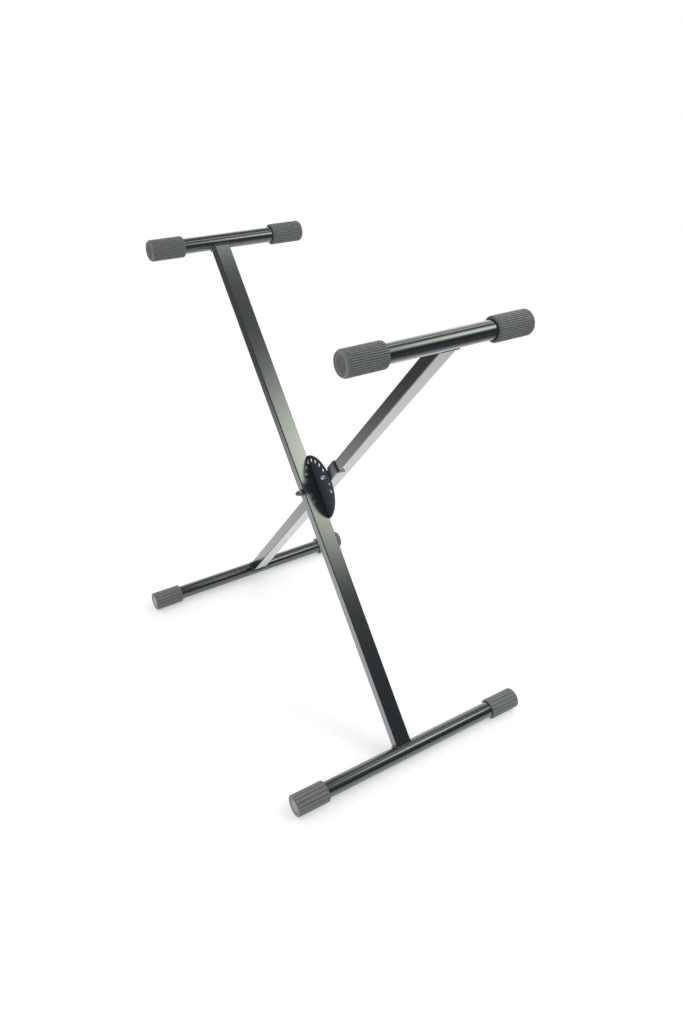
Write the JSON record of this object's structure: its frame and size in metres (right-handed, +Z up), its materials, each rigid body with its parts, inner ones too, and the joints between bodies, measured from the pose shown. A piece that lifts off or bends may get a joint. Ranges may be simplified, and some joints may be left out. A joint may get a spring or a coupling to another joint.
{
  "type": "folding keyboard stand",
  "caption": "Folding X-shaped stand for a keyboard: two crossed box-section arms on one bolt, a pin and drilled plate that lock the height, and round bars in ribbed rubber caps.",
  "frame": {"origin": "on the floor, midway between the feet and under the pivot bolt", "axes": "+X across the stand, the way it opens; +Y along the round bars, from the lock plate's side to the pin's side; +Z up"},
  "size_m": [0.6874, 0.489, 0.7982],
  "materials": {
    "arm_paint": "smooth black powder coat, semi-gloss",
    "bar_paint": "gloss black enamel",
    "plate_paint": "satin black coat",
    "saddle_paint": "satin dark grey coat",
    "grey_rubber": "matt moulded rubber",
    "bright_steel": "bright zinc plate",
    "black_hardware": "black zinc plate",
    "dark_nylon": "plain moulded nylon"
  },
  "bodies": {
    "plate_arm": {"plate_arm_top_bar": "bar_paint", "plate_arm_top_weld": "arm_paint", "plate_arm_top_cap_near": "grey_rubber", "plate_arm_top_cap_far": "grey_rubber", "plate_arm_foot_bar": "bar_paint", "plate_arm_foot_weld": "arm_paint", "plate_arm_foot_cap_near": "grey_rubber", "plate_arm_foot_cap_far": "grey_rubber", "plate_arm_pivot_sleeve": "black_hardware", "plate_arm_tube": "arm_paint", "lock_plate": "plate_paint", "pivot_bolt": "black_hardware", "pivot_nut": "black_hardware", "pivot_washer_near": "black_hardware", "pivot_washer_far": "black_hardware", "pivot_spacer": "dark_nylon"},
    "pin_arm": {"pin_arm_top_bar": "bar_paint", "pin_arm_top_weld": "arm_paint", "pin_arm_top_cap_near": "grey_rubber", "pin_arm_top_cap_far": "grey_rubber", "pin_arm_foot_bar": "bar_paint", "pin_arm_foot_weld": "arm_paint", "pin_arm_foot_cap_near": "grey_rubber", "pin_arm_foot_cap_far": "grey_rubber", "pin_arm_pivot_sleeve": "black_hardware", "pin_arm_tube": "arm_paint", "pin_guide": "black_hardware", "latch_saddle": "saddle_paint", "latch_rivet": "black_hardware", "latch_clip": "black_hardware"},
    "lock_pin": {"lock_pin": "bright_steel", "pin_collar": "black_hardware", "pin_spring": "bright_steel", "pull_button": "black_hardware"}
  },
  "joints": [
    {"name": "fold", "type": "hinge", "parent": "plate_arm", "child": "pin_arm", "pos_m": [0, 0, 0.3992], "axis": [0, 1, 0], "range_deg": [-76.5, 30.6]},
    {"name": "pin_pull", "type": "slide", "parent": "pin_arm", "child": "lock_pin", "axis": [0, 1, 0], "range_m": [0, 0.014], "stiffness_N_per_m": 400, "springref_m": -0.01, "deforming": ["pin_spring"]}
  ]
}
